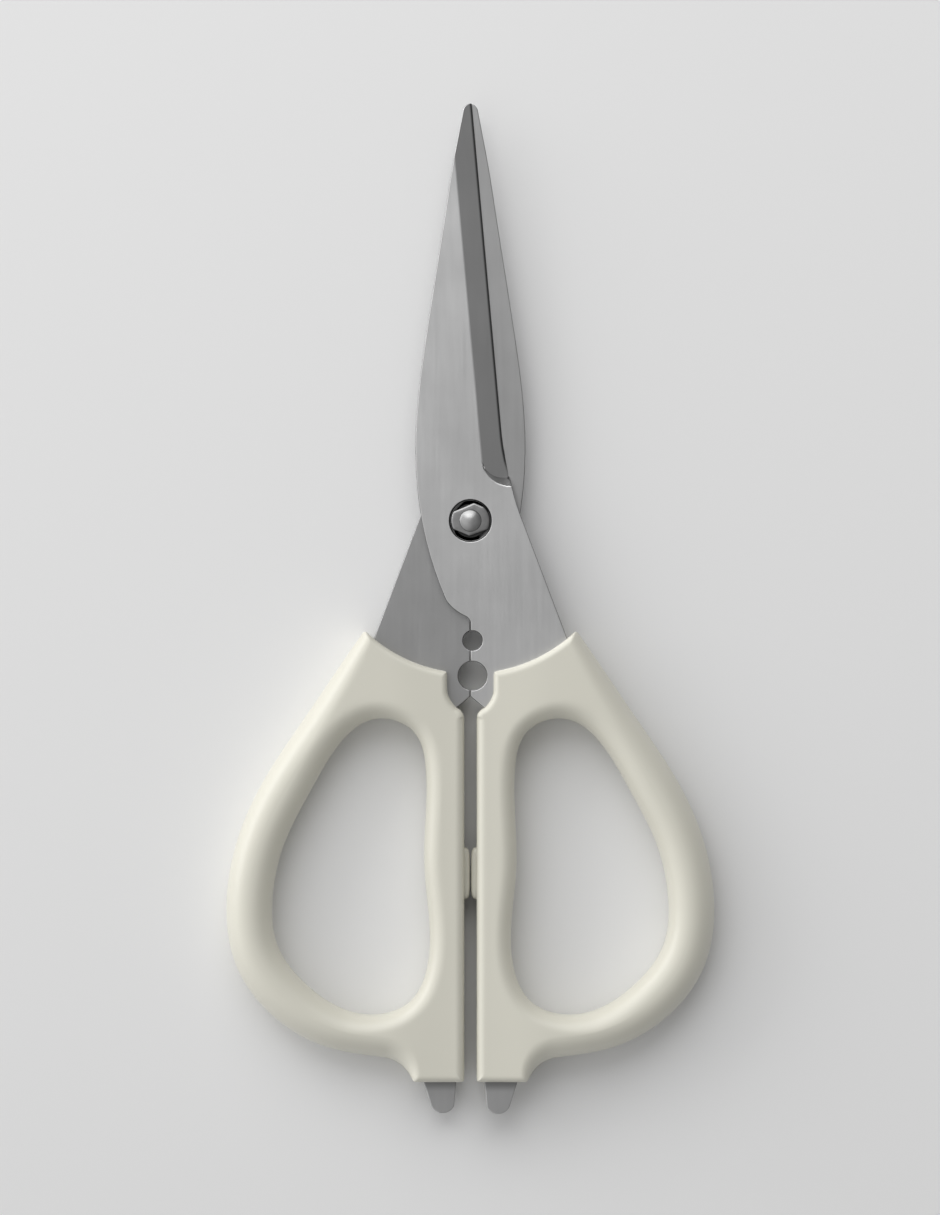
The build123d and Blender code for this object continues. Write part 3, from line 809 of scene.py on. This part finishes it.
def pivot_steel(name, colour):
    """Tumbled steel, brighter in the middle and darker outward, with painted shade where it slopes."""
    material = bpy.data.materials.new(name)
    nodes, links, shader = tree_of(material)
    tree = material.node_tree
    coordinates = node(tree, "ShaderNodeTexCoord")
    place, facing = coordinates.outputs["Object"], coordinates.outputs["Normal"]
    level = maths(tree, "ABSOLUTE", parts_of(tree, facing)["Z"])
    # painted shade where the surface slopes
    steep = ranged(tree, level, PIVOT_STEEP, PIVOT_STEEP_TONE)
    cloud = noise(tree, place, PIVOT_CLOUD_SCALE, 3.0, 0.6)
    radius = radius_of(tree, vectors(tree, "SUBTRACT", place, PIVOT))
    # brighter in the middle, darker outward
    centre_fade = ranged(tree, radius, CENTRE_FADE_SPAN, CENTRE_FADE_TONE, smooth=True)
    fade_and_shade = maths(tree, "MULTIPLY", centre_fade, steep)
    tone_and_shade = maths(tree, "MULTIPLY", ranged(tree, cloud, (0.0, 1.0), PIVOT_TONE), fade_and_shade)
    links.new(toned(tree, colour, tone_and_shade), shader.inputs["Base Color"])
    links.new(ranged(tree, cloud, (0.0, 1.0), PIVOT_ROUGHNESS), shader.inputs["Roughness"])
    shader.inputs["Metallic"].default_value = 1.0
    bump = node(tree, "ShaderNodeBump", Strength=0.15, Distance=0.00006, Height=cloud)
    links.new(bump.outputs[0], shader.inputs["Normal"])
    return material


def floor_paint(colours):
    """Plain pale matt floor."""
    material = bpy.data.materials.new("floor")
    nodes, links, shader = tree_of(material)
    shader.inputs["Base Color"].default_value = colours.floor
    shader.inputs["Roughness"].default_value = 0.6
    shader.inputs["Specular IOR Level"].default_value = 0.2
    return material


# ---------------------------------------------------------------- add-on
class ShearsSizes(bpy.types.PropertyGroup):
    """Sizes of the shears' dressed pieces"""
    limb_round: FloatProperty(
        name="Limb Rounding", description="Width of the rounding on the finger loop's outer edge",
        default=0.0052, min=0.001, unit="LENGTH")
    opening_round: FloatProperty(
        name="Opening Rounding", description="Width of the rounding round the finger opening",
        default=0.0048, min=0.001, unit="LENGTH")
    edge_round: FloatProperty(
        name="Edge Rounding", description="Rounding of the shoulder, notch and flat end",
        default=0.0013, min=0.0002, unit="LENGTH")
    gap_round: FloatProperty(
        name="Gap Rounding", description="Rounding of the edges along the gap between the handles",
        default=0.0019, min=0.0002, unit="LENGTH")
    bar_round: FloatProperty(
        name="Bar Rounding", description="Width of the opening's rounding along the inner bar",
        default=0.0036, min=0.0005, unit="LENGTH")
    corner_round: FloatProperty(
        name="Corner Rounding", description="Width of the outer rounding at the top corner",
        default=0.0027, min=0.0002, unit="LENGTH")
    corner_run: FloatProperty(
        name="Corner Run", description="Length over which the rounding grows from the top corner",
        default=0.026, min=0.002, unit="LENGTH")
    corner_spread: FloatProperty(
        name="Corner Softness", description="How softly the outline's own corners turn",
        default=0.00055, min=0.0001, unit="LENGTH")
    round_depth: FloatProperty(
        name="Rounding Depth", description="Depth of a rounding as a share of its width",
        default=1.1, min=0.5, max=1.5)
    crown: FloatProperty(
        name="Crown", description="How far the handle's face falls towards the gap",
        default=0.0006, min=0.0, unit="LENGTH")
    blade_edge: FloatProperty(
        name="Blade Edge Break", description="Width of the broken edges of the blades",
        default=0.00022, min=0.00002, unit="LENGTH")
    stub_drop: FloatProperty(
        name="Stub Place", description="Distance from the pivot to the stop stubs",
        default=0.08005, unit="LENGTH")
    seam: FloatProperty(
        name="Stub Seam", description="Half the gap between the closed stop stubs",
        default=0.0001, min=0.0, unit="LENGTH")


class ShearsColours(bpy.types.PropertyGroup):
    """Colours of the shears and of the floor"""
    handle: FloatVectorProperty(
        name="Handle", description="Cream of the moulded handles",
        subtype="COLOR", size=4, default=(0.692, 0.676, 0.589, 1.0), min=0, max=1)
    flat: FloatVectorProperty(
        name="Blade Flat", description="Steel of the blades' outer faces",
        subtype="COLOR", size=4, default=(0.76, 0.76, 0.76, 1.0), min=0, max=1)
    meeting: FloatVectorProperty(
        name="Meeting Face", description="Steel of the blades' meeting faces",
        subtype="COLOR", size=4, default=(0.54, 0.54, 0.54, 1.0), min=0, max=1)
    bevel: FloatVectorProperty(
        name="Bevel", description="Steel of the ground bevels and edges",
        subtype="COLOR", size=4, default=(0.58, 0.58, 0.58, 1.0), min=0, max=1)
    # painted shade on the broken edges and cut walls
    rim: FloatVectorProperty(
        name="Broken Edge Shade", description="Darker steel of the blades' broken edges and cut walls, as painted shade",
        subtype="COLOR", size=4, default=(0.30, 0.30, 0.30, 1.0), min=0, max=1)
    # painted shade along the cutting line and on downward-facing edges
    edge: FloatVectorProperty(
        name="Edge Shade", description="Painted shade beside the cutting line and on downward-facing edges",
        subtype="COLOR", size=4, default=(0.10, 0.10, 0.10, 1.0), min=0, max=1)
    tab: FloatVectorProperty(
        name="Tab", description="Steel of the tang tabs below the handles",
        subtype="COLOR", size=4, default=(0.57, 0.57, 0.57, 1.0), min=0, max=1)
    # painted shade inside the recess, also used on the bush
    recess_shade: FloatVectorProperty(
        name="Recess Shade", description="Painted shade inside the pivot's recess and on the bush",
        subtype="COLOR", size=4, default=(0.10, 0.10, 0.10, 1.0), min=0, max=1)
    pivot: FloatVectorProperty(
        name="Pivot", description="Steel of the stud and keeper",
        subtype="COLOR", size=4, default=(0.50, 0.50, 0.50, 1.0), min=0, max=1)
    floor: FloatVectorProperty(
        name="Floor", description="Paint of the floor",
        subtype="COLOR", size=4, default=(0.825, 0.825, 0.825, 1.0), min=0, max=1)


class SHEARS_OT_handles(bpy.types.Operator):
    """Make both moulded handles with their stop stubs"""
    bl_idname = "shears.handles"
    bl_label = "Handles"

    def execute(self, context):
        sizes = context.scene.shears_sizes
        plastic = handle_plastic(context.scene.shears_colours)
        flat, height = handle_surface(sizes)
        for side, name, body in ((1, "right", FRONT), (-1, "left", BACK)):
            points, faces = handle_mesh(flat, height, side)
            grip = new_piece(name + "_grip", points, faces, body, "handle_plastic", name + "_handle")
            grip.data.materials.append(plastic)
            points, faces = stub_mesh(sizes, side)
            stub = new_piece(name + "_stop_stub", points, faces, body, "handle_plastic")
            stub.data.materials.append(plastic)
        return {"FINISHED"}


SAME_PLACE = 1e-6
LEVEL_ANGLE, BROKEN_ANGLE = radians(0.4), radians(12)
BROKEN_STEPS = 3


class SHEARS_OT_blades(bpy.types.Operator):
    """Give both blades their ground steel"""
    bl_idname = "shears.blades"
    bl_label = "Blades"

    def execute(self, context):
        sizes, colours = context.scene.shears_sizes, context.scene.shears_colours
        for side, end, body in ((1, "front", FRONT), (-1, "back", BACK)):
            shape = bmesh.new()
            shape.from_mesh(frame["nodes"][end + "_blade"].data)
            bmesh.ops.remove_doubles(shape, verts=shape.verts, dist=SAME_PLACE)
            bmesh.ops.dissolve_limit(shape, angle_limit=LEVEL_ANGLE, verts=shape.verts, edges=shape.edges)
            mesh = bpy.data.meshes.new(end + "_steel")
            shape.to_mesh(mesh)
            shape.free()
            mesh.materials.clear()
            mesh.materials.append(blade_steel(end + "_steel", colours, side))
            blade = bpy.data.objects.new(end + "_steel", mesh)
            context.scene.collection.objects.link(blade)
            broken = blade.modifiers.new("broken_edges", "BEVEL")
            broken.width = sizes.blade_edge
            broken.segments = BROKEN_STEPS
            broken.limit_method = "ANGLE"
            broken.angle_limit = BROKEN_ANGLE
            broken.use_clamp_overlap = False
            levelled = blade.modifiers.new("level_faces", "WEIGHTED_NORMAL")
            levelled.mode = "FACE_AREA"
            levelled.weight = 100
            mesh.shade_smooth()
            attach(blade, body)
            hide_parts(end + "_blade")
        return {"FINISHED"}


class SHEARS_OT_pivot(bpy.types.Operator):
    """Give the stud, keeper, bush and washer their steel"""
    bl_idname = "shears.pivot"
    bl_label = "Pivot"

    def execute(self, context):
        colours = context.scene.shears_colours
        steel = pivot_steel("pivot_steel", colours.pivot)
        for slot in frame["nodes"]["back_washer"].material_slots:
            slot.material = steel
        # the bush takes the recess's painted shade colour
        for slot in frame["nodes"]["pivot_bush"].material_slots:
            slot.material = pivot_steel("bush_painted_shade", colours.recess_shade)
        stud = new_piece("stud", *turned_mesh(stud_profile()), BACK, "pivot_steel", "pivot_stud")
        keeper = new_piece("keeper", *keeper_mesh(), BACK, "pivot_steel", "keeper_wing")
        for piece in (stud, keeper):
            piece.data.materials.append(steel)
        return {"FINISHED"}


FLOOR_REACH = 2.0
LIGHT_DISTANCE = 1.5
# name, turn and rise in degrees, width and height in metres, power in watts
SOFTBOXES = (("top_softbox", 100, 42, 1.6, 1.6, 11.6), ("side_softbox", 150, 16, 1.6, 0.8, 9.9))
LIT_WALL = (-0.72, 0.0, 0.13)
ROOM_LIGHT = 0.27
CAMERA_HEIGHT = 1.6
VIEW_HEIGHT = 0.27605
CAMERA_SHIFT = (-0.0001, 0.0002)


class SHEARS_OT_stage(bpy.types.Operator):
    """Lay the floor, hang the lights and set the camera straight above"""
    bl_idname = "shears.stage"
    bl_label = "Stage"

    def execute(self, context):
        scene = context.scene
        corners = [(x * FLOOR_REACH, y * FLOOR_REACH, 0) for x, y in ((-1, -1), (1, -1), (1, 1), (-1, 1))]
        mesh = bpy.data.meshes.new("floor")
        mesh.from_pydata(corners, [], [[0, 1, 2, 3]])
        floor = bpy.data.objects.new("floor", mesh)
        scene.collection.objects.link(floor)
        mesh.materials.append(floor_paint(scene.shears_colours))

        for name, turn, rise, width, height, power in SOFTBOXES:
            turn, rise = radians(turn), radians(rise)
            place = LIGHT_DISTANCE * Vector((cos(rise) * cos(turn), cos(rise) * sin(turn), sin(rise)))
            light = bpy.data.lights.new(name, "AREA")
            light.shape = "ELLIPSE" if width == height else "RECTANGLE"
            light.size, light.size_y = width, height
            light.energy = power
            lamp = bpy.data.objects.new(name, light)
            lamp.location = place
            lamp.rotation_euler = (-place).to_track_quat("-Z", "Y").to_euler()
            scene.collection.objects.link(lamp)

        world = bpy.data.worlds.new("studio")
        world.use_nodes = True
        tree = world.node_tree
        toward = vectors(tree, "DOT_PRODUCT", node(tree, "ShaderNodeTexCoord").outputs["Generated"], LIT_WALL)
        room = maths(tree, "ADD", maths(tree, "MAXIMUM", toward, 0.0), ROOM_LIGHT)
        tree.links.new(room, tree.nodes["Background"].inputs["Strength"])
        tree.nodes["Background"].inputs["Color"].default_value = (1, 1, 1, 1)
        scene.world = world
        scene.view_settings.view_transform = "Standard"

        low, high = cad_box
        middle = (Vector(low) + Vector(high)) / 2
        camera = bpy.data.cameras.new("camera")
        camera.sensor_width = 36.0
        camera.lens = camera.sensor_width * (CAMERA_HEIGHT - middle.z) / VIEW_HEIGHT
        eye = bpy.data.objects.new("camera", camera)
        eye.location = (middle.x + CAMERA_SHIFT[0], middle.y + CAMERA_SHIFT[1], CAMERA_HEIGHT)
        scene.collection.objects.link(eye)
        scene.camera = eye
        return {"FINISHED"}


class SHEARS_PT_panel(bpy.types.Panel):
    """Sizes, colours and steps of the shears"""
    bl_idname = "SHEARS_PT_panel"
    bl_label = "Poultry Shears"
    bl_space_type = "VIEW_3D"
    bl_region_type = "UI"
    bl_category = "Shears"

    def draw(self, context):
        layout = self.layout
        for group in (context.scene.shears_sizes, context.scene.shears_colours):
            for name in group.__annotations__:
                layout.prop(group, name)
        for operator in OPERATORS:
            layout.operator(operator.bl_idname)


OPERATORS = (SHEARS_OT_handles, SHEARS_OT_blades, SHEARS_OT_pivot, SHEARS_OT_stage)
CLASSES = (ShearsSizes, ShearsColours) + OPERATORS + (SHEARS_PT_panel,)


def register():
    """Add the classes and hang the settings on the scene."""
    for cls in CLASSES:
        bpy.utils.register_class(cls)
    bpy.types.Scene.shears_sizes = PointerProperty(type=ShearsSizes)
    bpy.types.Scene.shears_colours = PointerProperty(type=ShearsColours)


def unregister():
    """Take the settings and classes away again."""
    del bpy.types.Scene.shears_colours
    del bpy.types.Scene.shears_sizes
    for cls in reversed(CLASSES):
        bpy.utils.unregister_class(cls)


def main():
    """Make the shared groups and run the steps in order."""
    register()
    moulded_skin()
    ground_lines()
    blade_zones()
    bpy.ops.shears.handles()
    bpy.ops.shears.blades()
    bpy.ops.shears.pivot()
    bpy.ops.shears.stage()


if __name__ == "__main__":
    main()
